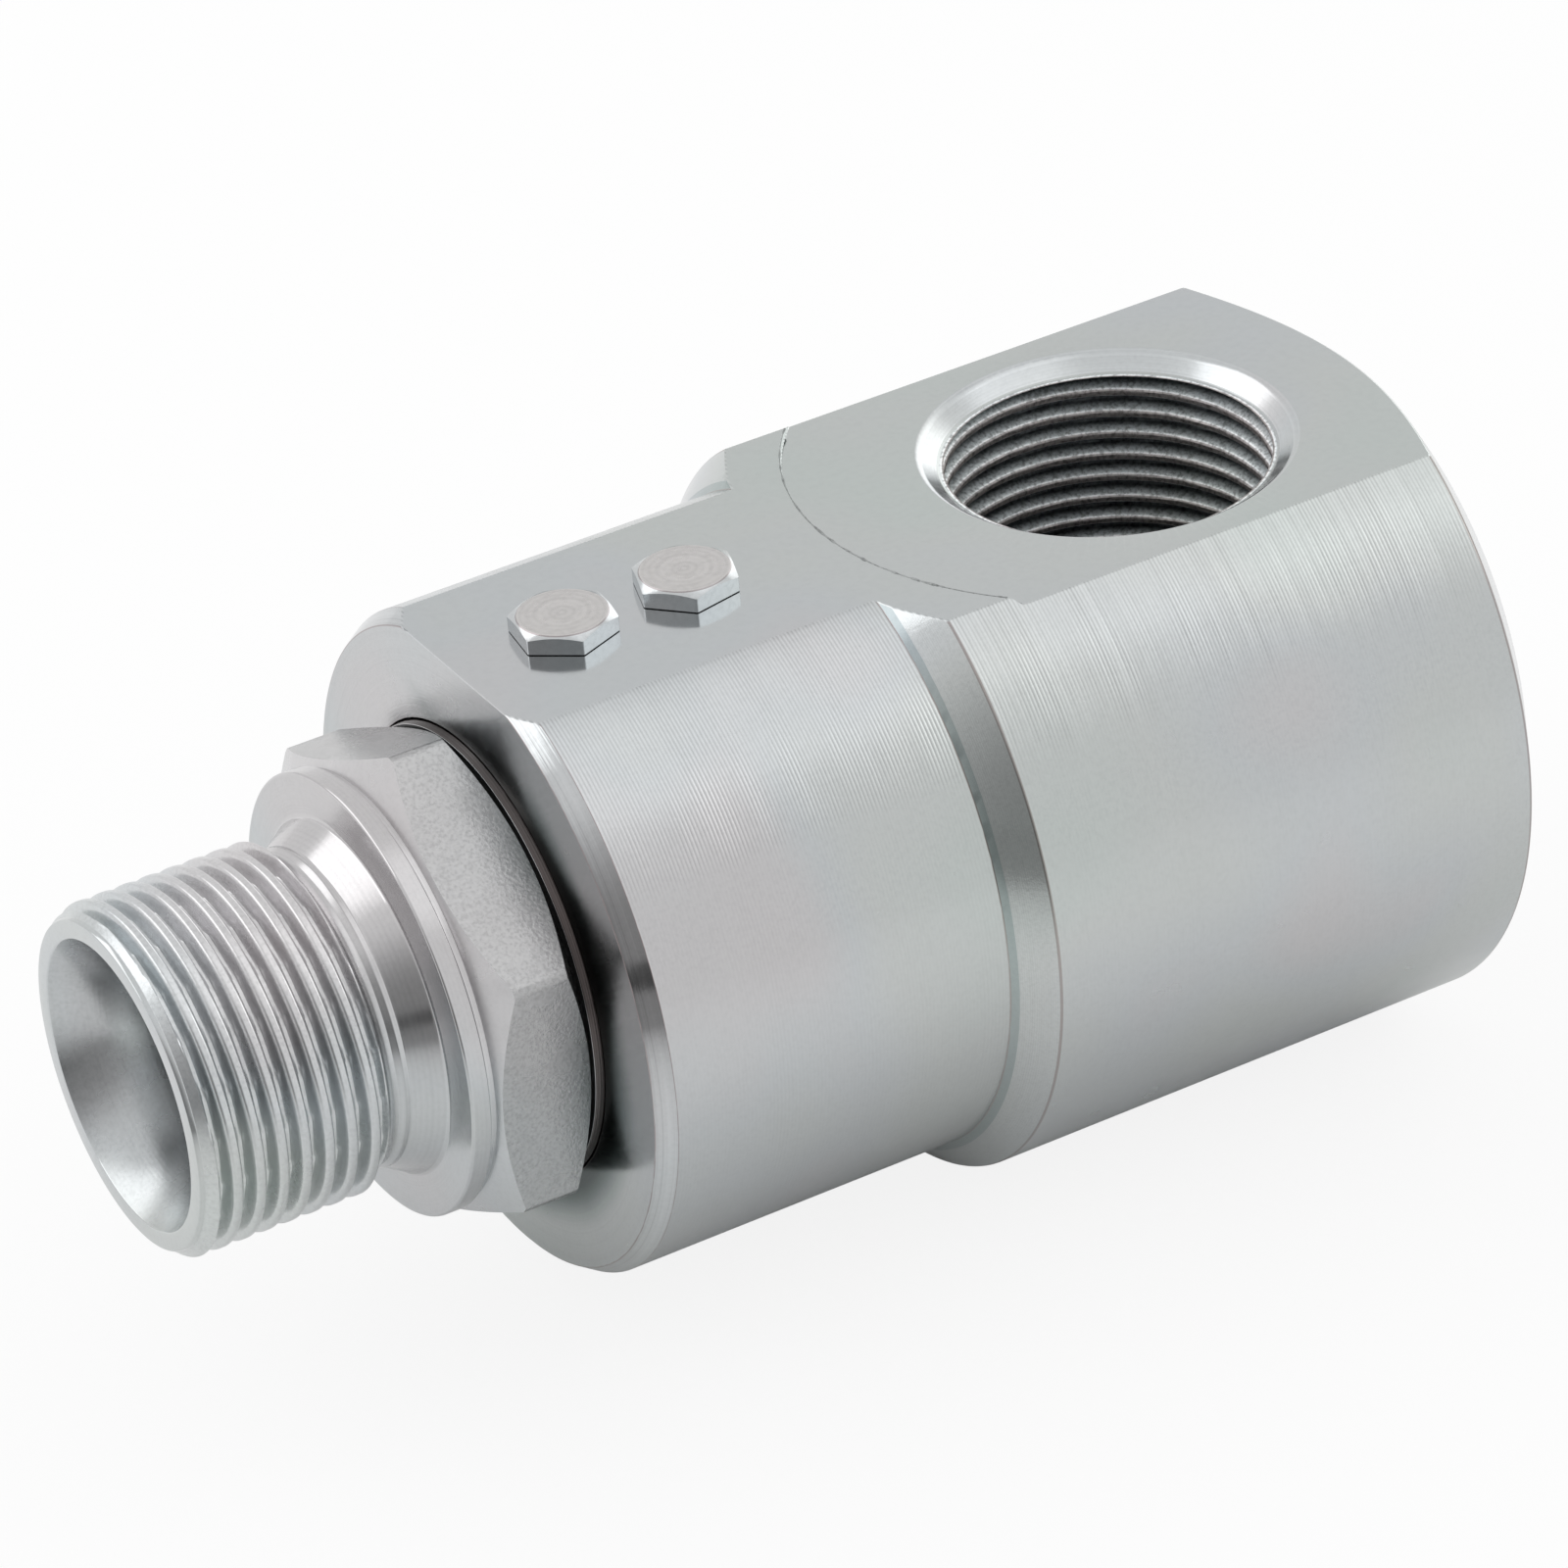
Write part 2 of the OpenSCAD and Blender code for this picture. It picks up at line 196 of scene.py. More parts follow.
class Nodes:
    """Short ways to add and join shader nodes in one tree."""

    def __init__(self, tree):
        self.tree = tree
        self.coords = tree.nodes.new("ShaderNodeTexCoord").outputs["Object"]

    def link(self, source, target):
        self.tree.links.new(source, target)

    def put(self, value, socket):
        """Join an output to the socket, or write a plain value into it."""
        if isinstance(value, bpy.types.NodeSocket):
            self.link(value, socket)
        else:
            socket.default_value = value

    def math(self, operation, a, b=0.0):
        node = self.tree.nodes.new("ShaderNodeMath")
        node.operation = operation
        self.put(a, node.inputs[0])
        self.put(b, node.inputs[1])
        return node.outputs[0]

    def add(self, a, b):
        return self.math("ADD", a, b)

    def less(self, a, b):
        return self.math("SUBTRACT", a, b)

    def times(self, a, b):
        return self.math("MULTIPLY", a, b)

    def vector(self, operation, a, b):
        node = self.tree.nodes.new("ShaderNodeVectorMath")
        node.operation = operation
        self.put(a, node.inputs[0])
        self.put(b, node.inputs[1])
        return node.outputs

    def lobe(self, direction, centre, inner, outer):
        """One within the inner angle of a direction, falling softly to zero at the outer angle."""
        cosine = self.vector("DOT_PRODUCT", direction, centre)["Value"]
        return self.span(cosine, math.cos(math.radians(outer)), math.cos(math.radians(inner)),
                         kind="SMOOTHSTEP")

    def split(self, vector):
        node = self.tree.nodes.new("ShaderNodeSeparateXYZ")
        self.link(vector, node.inputs[0])
        return node.outputs

    def join(self, x, y, z):
        node = self.tree.nodes.new("ShaderNodeCombineXYZ")
        for value, socket in zip((x, y, z), node.inputs):
            self.put(value, socket)
        return node.outputs[0]

    def cells(self, vector, scale):
        """Distance to the nearest scattered point, and a random number of that point."""
        node = self.tree.nodes.new("ShaderNodeTexVoronoi")
        self.link(vector, node.inputs["Vector"])
        node.inputs["Scale"].default_value = scale
        return node.outputs["Distance"], self.split(node.outputs["Color"])[0]

    def noise(self, vector, scale, detail=3.0, roughness=0.5):
        node = self.tree.nodes.new("ShaderNodeTexNoise")
        self.link(vector, node.inputs["Vector"])
        node.inputs["Scale"].default_value = scale
        node.inputs["Detail"].default_value = detail
        node.inputs["Roughness"].default_value = roughness
        return node.outputs["Fac"]

    def ramp(self, factor, stops):
        node = self.tree.nodes.new("ShaderNodeValToRGB")
        self.link(factor, node.inputs[0])
        elements = node.color_ramp.elements
        while len(elements) < len(stops):
            elements.new(0.5)
        for element, (place, color) in zip(elements, stops):
            element.position = place
            element.color = (*color, 1)
        return node.outputs[0]

    def span(self, value, low, high, out_low=0.0, out_high=1.0, kind="LINEAR"):
        """The value's place between low and high, as a number from out_low to out_high."""
        node = self.tree.nodes.new("ShaderNodeMapRange")
        node.interpolation_type = kind
        self.put(value, node.inputs[0])
        for socket, number in zip(node.inputs[1:5], (low, high, out_low, out_high)):
            socket.default_value = number
        return node.outputs[0]

    def mix(self, factor, a, b, blend="MIX"):
        node = self.tree.nodes.new("ShaderNodeMix")
        node.data_type = "RGBA"
        node.blend_type = blend
        self.put(factor, node.inputs[0])
        self.put(a, node.inputs[6])
        self.put(b, node.inputs[7])
        return node.outputs[2]

    def dye(self, color, factor):
        """One colour times another."""
        return self.mix(1.0, color, factor, "MULTIPLY")

    def bump(self, height, strength=1.0):
        node = self.tree.nodes.new("ShaderNodeBump")
        node.inputs["Strength"].default_value = strength
        node.inputs["Distance"].default_value = 0.02 * MM
        self.link(height, node.inputs["Height"])
        return node.outputs[0]


def plate_color(n, place, value, hue, tint):
    """Grey of the zinc, with the soft drift of its passivation through green, blue and rose."""
    tints = n.ramp(n.noise(place, 30.0, 2.0, 0.5), [
        (0.34, (0.95, 1.02, 0.985)), (0.44, (0.99, 1.015, 1.0)), (0.52, (0.97, 1.0, 1.035)),
        (0.60, (1.03, 0.985, 1.01)), (0.70, (1.05, 0.97, 0.99))])
    grey = (*[value * h for h in hue], 1)
    return n.mix(tint, grey, n.dye(tints, grey))


def tool_lines(n, place, along, pitch, regular):
    """Height of a turning tool's lines: a regular wave and loose scratches, of changing force."""
    slow = n.noise(place, 90.0, 1.0, 0.5)
    phase = n.add(n.times(along, 2 * math.pi / (pitch * MM)), n.times(slow, 2.5))
    even = n.times(n.math("SINE", phase), 0.5)
    fine = n.join(n.times(along, 1 / (pitch * 1.7 * MM)), n.times(slow, 0.5), 0.0)
    loose = n.less(n.noise(fine, 1.0, 3.0, 0.6), 0.5)
    broad = n.join(n.times(along, 1 / (pitch * 9 * MM)), n.times(slow, 0.8), 3.0)
    force = n.span(n.noise(broad, 1.0, 2.0, 0.6), 0.38, 0.62, 0.45, 1.0)
    both = n.add(n.times(even, regular), n.times(loose, 2.2 * (1 - regular)))
    return n.times(both, force)


def painted_recess_shade(n, place, radius, sides, inner, outer, low):
    """Colour factor of painted shade and painted dark reflection round the recess. It is thin on
    the far side and at the top.
    """
    y, z = sides
    frayed = n.less(n.noise(place, 90.0, 1.0), 0.5)
    edge = n.add(radius, n.times(frayed, 1.5 * MM))
    recess_shade_share = n.span(edge, inner * MM, outer * MM, low, 1.0, kind="SMOOTHSTEP")
    recess_shade_share = n.math("MAXIMUM", recess_shade_share, n.span(y, -2 * MM, 9 * MM, kind="SMOOTHSTEP"))
    recess_shade_share = n.math("MAXIMUM", recess_shade_share, n.span(z, 13 * MM, 20 * MM, kind="SMOOTHSTEP"))
    return n.join(n.math("POWER", recess_shade_share, 1.12), recess_shade_share, n.math("POWER", recess_shade_share, 1.02))


def painted_thread_light(n, radius):
    """Colour factor of an inside thread: darker at the crest tips, a painted highlight line just
    below them, and painted shade deepening into the roots.
    """
    return n.ramp(n.span(radius, ROOT_R * MM, CREST_R * MM), [
        (0.01, (0.5, 0.45, 0.44)), (0.07, (0.55, 0.51, 0.5)), (0.13, (1.3, 1.28, 1.28)),
        (0.22, (0.95, 0.97, 0.97)), (0.55, (0.8, 0.82, 0.83)), (0.85, (0.2, 0.21, 0.22))])


def zinc(name, roughness, value=0.56, lines=None, axis="X", centre=(0, 0, 0), pitch=0.27,
         depth=0.2, regular=0.5, streak=0.02, grain=0.1, grain_size=0.35, mottle=0.03, tint=0.6,
         wave=0.0, pits=0.0, spread=0.0, painted_shade_ring=None, fade=None, thread_light_bands=False,
         hue=(1.0, 1.022, 1.02)):
    """Bright zinc plate. Lines run round the axis, spaced along it ("turned") or outward ("faced").

    depth, grain, wave and pits are heights of the bump. streak and mottle are shares of the
    colour. spread draws highlights out across the lines. fade is the Z at which the lines are
    weakest, the Z at which they are whole, and their least share.
    """
    material, tree, shader = principled(name, (value, value, value), 1.0, roughness)
    n = Nodes(tree)
    place = n.vector("SUBTRACT", n.coords, tuple(c * MM for c in centre))[0]
    x, y, z = n.split(place)
    across = (y, z) if axis == "X" else (x, y)
    radius = n.math("SQRT", n.add(*[n.math("POWER", c, 2.0) for c in across]))

    shade = plate_color(n, place, value, hue, tint)
    grains = n.noise(place, 1 / (grain_size * MM), 3.0, 0.55)
    height = n.times(grains, grain)
    shade = n.dye(shade, n.ramp(grains, greys(
        (0.36, 1 - mottle), (0.5, 1.0), (0.66, 1 + mottle * 0.5))))
    if wave:
        height = n.add(height, n.times(n.noise(place, 1 / (3.5 * MM), 1.0, 0.4), wave))
    if lines:
        along = radius if lines == "faced" else (x if axis == "X" else z)
        drawn = tool_lines(n, place, along, pitch, regular)
        # The lines are real; their weakening lower down, streaks included, stands in for the light
        # that shows them only near the top, which is painted light.
        if fade:
            weak, whole, least = fade
            drawn = n.times(drawn, n.span(z, weak * MM, whole * MM, least, 1.0, kind="SMOOTHSTEP"))
        height = n.add(height, n.times(drawn, depth))
        shade = n.dye(shade, n.ramp(n.add(drawn, 0.5), greys(
            (0.22, 1 - 2 * streak), (0.5, 1.0), (0.78, 1 + streak))))
    if pits:
        gap, pick = n.cells(place, 1 / (1.6 * MM))
        pit = n.times(n.span(gap, 0.03, 0.075, 1.0, 0.0), n.math("GREATER_THAN", pick, 0.8))
        height = n.less(height, n.times(pit, pits))
    # Painted shade and painted dark reflection round the recess of the front face
    if painted_shade_ring:
        shade = n.dye(shade, painted_recess_shade(n, place, radius, (y, z), *painted_shade_ring))
    # Painted highlight and painted shade across the inside thread
    if thread_light_bands:
        shade = n.dye(shade, painted_thread_light(n, radius))

    wear = n.noise(place, 260.0, 3.0, 0.6)
    n.link(shade, shader.inputs["Base Color"])
    n.link(n.span(wear, 0.3, 0.7, roughness * 0.85, roughness * 1.2), shader.inputs["Roughness"])
    n.link(n.bump(height), shader.inputs["Normal"])
    if spread:
        shader.inputs["Anisotropic"].default_value = spread
        shader.inputs["Anisotropic Rotation"].default_value = 0.25
        tangent = tree.nodes.new("ShaderNodeTangent")
        tangent.direction_type = "RADIAL"
        tangent.axis = axis
        n.link(tangent.outputs[0], shader.inputs["Tangent"])
    return material


def plain_material(name, color, metallic, roughness, mottling=0.1, grain_size=0.4, bump=0.3):
    """A finish with fine grain and slight mottling, for the parts inside."""
    material, tree, shader = principled(name, color, metallic, roughness)
    n = Nodes(tree)
    cloud = n.noise(n.coords, 180.0, 3.0, 0.6)
    dark = tuple(c * (1 - mottling) for c in color)
    light = tuple(min(1.0, c * (1 + mottling)) for c in color)
    n.link(n.ramp(cloud, [(0.35, dark), (0.65, light)]), shader.inputs["Base Color"])
    grains = n.noise(n.coords, 1 / (grain_size * MM), 4.0, 0.6)
    n.link(n.span(grains, 0.3, 0.7, roughness * 0.85, roughness * 1.15),
           shader.inputs["Roughness"])
    n.link(n.bump(grains, bump), shader.inputs["Normal"])
    return material


def ring_angles(keys=(), count=240):
    """Angles round a ring, with evenly filled gaps between the key angles, in radians."""
    stops = sorted(set([0.0, *keys, 360.0]))
    angles = []
    for low, high in zip(stops, stops[1:]):
        steps = max(1, round((high - low) * count / 360))
        angles += [low + (high - low) * k / steps for k in range(steps)]
    return np.radians(np.array(angles))


def outline(points, steps=4, round_finish="polished"):
    """Rows (station, radius, finish) from corners (station, radius, fillet, finish after it)."""
    rows = []
    last = len(points) - 1
    for i, (s, r, fillet, finish) in enumerate(points):
        if fillet <= 0 or i in (0, last):
            rows.append((s, r, finish))
            continue
        corner = np.array([s, r], float)
        to_last = np.array(points[i - 1][:2], float) - corner
        to_next = np.array(points[i + 1][:2], float) - corner
        len_last, len_next = np.linalg.norm(to_last), np.linalg.norm(to_next)
        to_last, to_next = to_last / len_last, to_next / len_next
        half = math.acos(max(-1.0, min(1.0, to_last @ to_next))) / 2
        cut = min(fillet / math.tan(half), 0.48 * len_last, 0.48 * len_next)
        inward = (to_last + to_next) / np.linalg.norm(to_last + to_next)
        centre = corner + inward * (cut / math.cos(half))
        start, end = corner + to_last * cut - centre, corner + to_next * cut - centre
        a = math.atan2(start[1], start[0])
        turn = (math.atan2(end[1], end[0]) - a + math.pi) % (2 * math.pi) - math.pi
        size = np.linalg.norm(start)
        for k in range(steps + 1):
            t = a + turn * k / steps
            point = centre + size * np.array([math.cos(t), math.sin(t)])
            rows.append((point[0], point[1], finish if k == steps else round_finish))
    return rows


def race_rows(s_mid, r_wall, outward, steps=10):
    """Rows of a round ball race, cut outward into a bore or inward into a shaft."""
    side = 1 if outward else -1
    reach = math.acos(side * (r_wall - RACE_PITCH_R) / RACE_R)
    rows = []
    for k in range(steps + 1):
        t = -reach + 2 * reach * k / steps
        radius = RACE_PITCH_R + side * RACE_R * math.cos(t)
        rows.append((s_mid + RACE_R * math.sin(t), radius, "bore"))
    return rows


def seat_rows(seat, r_shaft):
    """Rows of a square ring seat turned into a shaft."""
    front, rear, floor = seat
    return [(front, r_shaft, "bore"), (front, floor, "bore"),
            (rear, floor, "bore"), (rear, r_shaft, "bore")]


def smooth_step(value, low, high):
    t = min(1.0, max(0.0, (value - low) / (high - low)))
    return t * t * (3 - 2 * t)


def thread_form(station, angles, origin, pitch, fullness=1.0):
    """Height of a thread, from 0 to 1, where the ring of that station crosses it."""
    # Crest and root are each flat over a sixth of the pitch
    flat = 1 / 6
    share = ((station - origin) / pitch - angles / (2 * math.pi)) % 1.0
    height = np.clip((np.abs(2 * share - 1) - flat) * 1.5, 0, 1)
    height = 0.4 * height + 0.6 * height * height * (3 - 2 * height)
    return 1 - (1 - height) ** fullness


def new_object(name, bm):
    mesh = bpy.data.meshes.new(name)
    bm.to_mesh(mesh)
    bm.free()
    obj = bpy.data.objects.new(name, mesh)
    bpy.context.scene.collection.objects.link(obj)
    return obj


def turned_mesh(name, rows, angles, axis="X", centre=(0.0, 0.0)):
    """Closed solid from rings of points about an axis. A ring of radius zero is one point."""
    bm = bmesh.new()
    cos, sin = np.cos(angles), np.sin(angles)
    rings = []
    for s, radius, _ in rows:
        r = np.broadcast_to(np.asarray(radius, float), angles.shape)
        if np.all(r <= 1e-9):
            co = (s, centre[0], centre[1]) if axis == "X" else (centre[0], centre[1], s)
            rings.append([bm.verts.new(Vector(co) * MM)])
            continue
        u, v = centre[0] + r * cos, centre[1] + r * sin
        if axis == "X":
            points = [(s, a, b) for a, b in zip(u, v)]
        else:
            points = [(a, b, s) for a, b in zip(u, v)]
        rings.append([bm.verts.new(Vector(p) * MM) for p in points])
    pairs = list(zip(rings, rings[1:], rows))
    if len(rings[0]) > 1:
        pairs.append((rings[-1], rings[0], rows[-1]))
    count = len(angles)
    for one, two, (_, _, finish) in pairs:
        index = FINISHES.index(finish)
        for i in range(count):
            j = (i + 1) % count
            if len(one) == 1 and len(two) == 1:
                continue
            if len(one) == 1:
                corners = (one[0], two[j], two[i])
            elif len(two) == 1:
                corners = (one[i], one[j], two[0])
            else:
                corners = (one[i], one[j], two[j], two[i])
            bm.faces.new(corners).material_index = index
    bmesh.ops.recalc_face_normals(bm, faces=bm.faces)
    return new_object(name, bm)


def prism(name, across_flats, facet, low, high, turn, axis, centre, finish):
    """Closed hexagonal prism, each corner cut off flat at that distance along its sides."""
    half = across_flats / 2
    reach = half / math.sqrt(3) - facet
    radius = math.hypot(half, reach)
    lean = 30.0 - math.degrees(math.atan2(reach, half))
    angles = sorted(turn + 60.0 * k + side * lean for k in range(6) for side in (-1, 1))
    rows = [(low, 0.0, finish), (low, radius, finish), (high, radius, finish), (high, 0.0, finish)]
    return turned_mesh(name, rows, np.radians(angles), axis, centre)


def combine(target, other, operation):
    """Boolean of two closed solids, left as the target's own mesh. The other solid goes."""
    modifier = target.modifiers.new("combine", "BOOLEAN")
    modifier.solver = "EXACT"
    modifier.operation = operation
    modifier.object = other
    modifier.material_mode = "INDEX"
    graph = bpy.context.evaluated_depsgraph_get()
    mesh = bpy.data.meshes.new_from_object(target.evaluated_get(graph))
    target.modifiers.clear()
    old = target.data
    target.data = mesh
    bpy.data.meshes.remove(old)
    bpy.data.objects.remove(other)


def soften(obj, wanted, width, segments):
    """Round off the edges that the function picks, after merging points too close for it."""
    bm = bmesh.new()
    bm.from_mesh(obj.data)
    bmesh.ops.remove_doubles(bm, verts=bm.verts, dist=0.03 * MM)
    bmesh.ops.dissolve_degenerate(bm, edges=bm.edges, dist=0.01 * MM)
    bm.normal_update()
    edges = [e for e in bm.edges if len(e.link_faces) == 2 and wanted(e)]
    bmesh.ops.bevel(bm, geom=edges, offset=width * MM, offset_type="OFFSET", segments=segments,
                    profile=0.5, affect="EDGES", clamp_overlap=False)
    bm.to_mesh(obj.data)
    bm.free()


def finish_piece(obj, body, nodes, materials):
    """Materials, smooth shading with true edges, and the place of a piece in the frame."""
    for name in FINISHES:
        obj.data.materials.append(materials[name])
    obj.data.shade_smooth()
    obj.data.set_sharp_from_angle(angle=math.radians(32))
    weighted = obj.modifiers.new("even_normals", "WEIGHTED_NORMAL")
    weighted.keep_sharp = True
    weighted.weight = 80
    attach(obj, body)
    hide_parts(*nodes)


def turned_body():
    """Body as it leaves the lathe, with its recess, bores, races and chamber."""
    # Points of the rings keep clear of the lines where the flat and the spotface will cut them
    spot, flat, flat_front = [math.degrees(math.asin(z / r)) for z, r in (
        (SPOT_Z, R_REAR), (FLAT_Z, R_REAR), (FLAT_Z, R_FRONT))]
    keys = [spot - 0.9, (spot + flat) / 2, flat + 0.8, flat_front - 0.75, flat_front + 0.75]
    chamfer_x, chamfer_r = REAR_CHAMFER
    rows = outline([
        (0, 0, 0, "faced"),
        (0, R_REAR - chamfer_r, 0.35, "polished"),
        (-chamfer_x, R_REAR, 0.3, "turned_rear"),
        (X_STEP_TOP, R_REAR, 0.28, "step"),
        (X_STEP_FOOT + STEP_LEDGE[0], R_FRONT + STEP_LEDGE[1], 0.12, "facet"),
        (X_STEP_FOOT, R_FRONT, 0.12, "turned_front"),
        (X_FRONT + FRONT_CHAMFER[0], R_FRONT, 0.12, "polished"),
        (X_FRONT, R_FRONT - FRONT_CHAMFER[1], 0.12, "front_face"),
        (X_FRONT, LIP_R, 0.05, "bore"),
        (X_FRONT + LIP_DEPTH, LIP_R, 0, "bore"),
        (X_FRONT + LIP_DEPTH, RECESS_R, 0, "bore"),
        (RECESS_FLOOR_X, RECESS_R, 0.2, "bore"),
        (RECESS_FLOOR_X, SHAFT_BORE_R + LEAD_IN, 0, "bore"),
        (RECESS_FLOOR_X + LEAD_IN, SHAFT_BORE_R, 0, "bore"),
    ], round_finish="edge")
    for x in RACE_X:
        rows += race_rows(x, SHAFT_BORE_R, True)
    drill_tip = 0.3 * CHAMBER_R
    rows += [
        (BORE_STEP_X, SHAFT_BORE_R, "bore"),
        (BORE_STEP_X, JOURNAL_BORE_R + LEAD_IN, "bore"),
        (BORE_STEP_X + LEAD_IN, JOURNAL_BORE_R, "bore"),
        (CHAMBER_X, JOURNAL_BORE_R, "bore"),
        (CHAMBER_X, CHAMBER_R, "bore"),
        (CHAMBER_END_X, CHAMBER_R, "bore"),
        (CHAMBER_END_X + drill_tip, 0.0, "bore"),
    ]
    angles = ring_angles([*keys, *[180 - k for k in keys]], 288)
    return turned_mesh("housing_shell", rows, angles)


def cut_flat(body):
    """Mill the flat along the whole body."""
    centre_x, length, width, height = -40, 100, 80, 20
    block = bmesh.new()
    bmesh.ops.create_cube(block, size=1.0)
    for vert in block.verts:
        x, y, z = vert.co
        corner = (centre_x + x * length, y * width, FLAT_Z + height / 2 + z * height)
        vert.co = Vector(corner) * MM
    for face in block.faces:
        face.material_index = FINISHES.index("milled")
    combine(body, new_object("flat_cutter", block), "DIFFERENCE")


def cut_spotface(body):
    """Sink the round face about the port a little below the flat."""
    above = SPOT_Z + 9
    rows = [
        (SPOT_Z, 0, "milled"), (SPOT_Z, SPOT_R, "polished"),
        (above, SPOT_R, "milled"), (above, 0, "milled"),
    ]
    cutter = turned_mesh("spot_cutter", rows, ring_angles(count=360), "Z", (PORT_X, 0.0))
    combine(body, cutter, "DIFFERENCE")


def cut_port(body):
    """Passage, pipe thread as a helix, and countersink of the side port."""
    angles = ring_angles(count=144)
    rows = [
        (0.0, 0.0, "bore"), (0.0, PASSAGE_R, "bore"),
        (PORT_THREAD_END_Z - PORT_CONE_LEN, PASSAGE_R, "bore"),
        (PORT_THREAD_END_Z, ROOT_R, "port_thread"),
    ]
    low, high = PORT_THREAD_END_Z + 0.05, SINK_BOTTOM_Z - 0.05
    count = round((high - low) / (PITCH / 18))
    for k in range(count + 1):
        z = low + (high - low) * k / count
        window = smooth_step(z, low, low + 0.6 * PITCH) * smooth_step(-z, -high, -high + 0.12)
        form = thread_form(z, angles, PORT_TOP_GROOVE_Z, PITCH, PORT_FULLNESS)
        rows.append((z, ROOT_R + (CREST_R - ROOT_R) * window * form, "port_thread"))
    above = SPOT_Z + 2
    rows += [
        (SINK_BOTTOM_Z - 0.02, ROOT_R + 0.3, "rim"),
        (SINK_BOTTOM_Z + 0.1, ROOT_R + 0.5, "sink"),
        (SPOT_Z - 0.30, SINK_R - 0.50, "sink"),
        (SPOT_Z - 0.24, SINK_R - 0.44, "sink"),
        (SPOT_Z, SINK_R, "milled"),
        (above, SINK_R, "milled"),
        (above, 0.0, "milled"),
    ]
    combine(body, turned_mesh("port_cutter", rows, angles, "Z", (PORT_X, 0.0)), "DIFFERENCE")


def cut_screw_hole(body, x):
    """Hole of one filler screw, and below it the hole of its race plug."""
    above = FLAT_Z + 2
    rows = [
        (RACE_PITCH_R, 0, "bore"), (RACE_PITCH_R, PLUG_HOLE_R, "bore"),
        (PLUG_TOP_Z, PLUG_HOLE_R, "bore"), (PLUG_TOP_Z, SCREW_HOLE_R, "bore"),
        (above, SCREW_HOLE_R, "bore"), (above, 0, "bore"),
    ]
    cutter = turned_mesh("hole_cutter", rows, ring_angles(count=48), "Z", (x, 0.0))
    combine(body, cutter, "DIFFERENCE")


def add_burr(body):
    """Thin rough edge that the cutter left round the spotface, on the side of the screws."""
    count, window = 260, 9
    rng = np.random.default_rng(7)
    angles = np.radians(np.linspace(*BURR_ANGLES, count))
    wobble = np.convolve(rng.random(count + 30), np.ones(window) / window, "same")[15:count + 15]
    size = 0.07 + 0.16 * np.clip((wobble - 0.45) / 0.22, 0, 1)
    bm = bmesh.new()
    bm.from_mesh(body.data)
    rings = []
    for angle, s in zip(angles, size):
        ring = []
        for k in range(6):
            t = math.radians(60 * k)
            r = SPOT_R + 0.02 + 0.55 * s * math.cos(t)
            z = FLAT_Z - 0.01 + 0.5 * s * math.sin(t)
            point = (PORT_X + r * math.cos(angle), r * math.sin(angle), z)
            ring.append(bm.verts.new(Vector(point) * MM))
        rings.append(ring)
    index = FINISHES.index("burr")
    for one, two in zip(rings, rings[1:]):
        for k in range(6):
            j = (k + 1) % 6
            bm.faces.new((one[k], two[k], two[j], one[j])).material_index = index
    bm.faces.new(rings[0]).material_index = index
    bm.faces.new(rings[-1][::-1]).material_index = index
    bmesh.ops.recalc_face_normals(bm, faces=bm.faces)
    bm.to_mesh(body.data)
    bm.free()


def build_housing(materials):
    """Body with its flat, spotface, port, recess and races."""
    body = turned_body()
    cut_flat(body)
    cut_spotface(body)
    cut_port(body)
    for x in RACE_X:
        cut_screw_hole(body, x)

    milled = FINISHES.index("milled")
    outside = {FINISHES.index(name) for name in (
        "turned_rear", "turned_front", "polished", "step", "facet", "edge", "faced", "front_face")}

    def at_rim(edge):
        kinds = {face.material_index for face in edge.link_faces}
        sharp = edge.calc_face_angle(0.0) > math.radians(20)
        return milled in kinds and bool(kinds & outside) and sharp

    soften(body, at_rim, RIM_WIDTH, 2)
    add_burr(body)
    finish_piece(body, "housing", ["housing"], materials)


def male_thread_rows(angles, low, high):
    """Helix of the pipe thread, from its lead-in to its run-out in the neck."""
    rows = []
    count = round((high - low) / (PITCH / 20))
    for k in range(count + 1):
        x = low + (high - low) * k / count
        start = smooth_step(x, low, low + 0.8)
        root = ROOT_R + (LEAD_R - ROOT_R) * (1 - start)
        fade = 1 - smooth_step(x, THREAD_END_X - 0.5, THREAD_END_X + 0.35)
        crest = min(CREST_R, LEAD_R + (x - low) * 0.9)
        form = thread_form(x, angles, THREAD_ORIGIN_X, PITCH, MALE_FULLNESS)
        radius = np.minimum(root + (CREST_R - ROOT_R) * form * fade, crest)
        sunk = 0.2 * smooth_step(x, THREAD_END_X - 0.2, high)
        rows.append((x, radius - sunk, "male_thread"))
    return rows


def build_hexagon():
    """Forged hexagon ring with a chamfer at each end, hollow where the spindle fills it."""
    front, rear = HEX_X[0] - HEX_FRONT_EXTRA, HEX_X[1]
    hexagon = prism("hexagon", HEX_AF, HEX_CORNER, front, rear, HEX_TURN, "X", (0.0, 0.0),
                    "hexagon")
    wide, past = 21.0, 0.5
    slope = math.tan(math.radians(HEX_END_ANGLE))
    drop = (wide - HEX_AF / 2) * slope
    cone_r = HEX_AF / 2 - 0.35
    ends = turned_mesh("hexagon_ends", [
        (front - past, 0, "polished"),
        (front - past, cone_r - (HEX_FRONT_EXTRA + past) / slope, "hexagon_chamfer"),
        (HEX_X[0] + (wide - cone_r) * slope, wide, "hexagon"),
        (rear - drop, wide, "hexagon"),
        (rear + past, HEX_AF / 2 - past / slope, "bore"),
        (rear + past, 0, "bore"),
    ], ring_angles(count=240))
    combine(hexagon, ends, "INTERSECT")
    core_r = 15.0
    core = turned_mesh("hexagon_core", [
        (-90, 0, "bore"), (-90, core_r, "bore"), (-70, core_r, "bore"), (-70, 0, "bore"),
    ], ring_angles(count=96))
    combine(hexagon, core, "DIFFERENCE")
    return hexagon


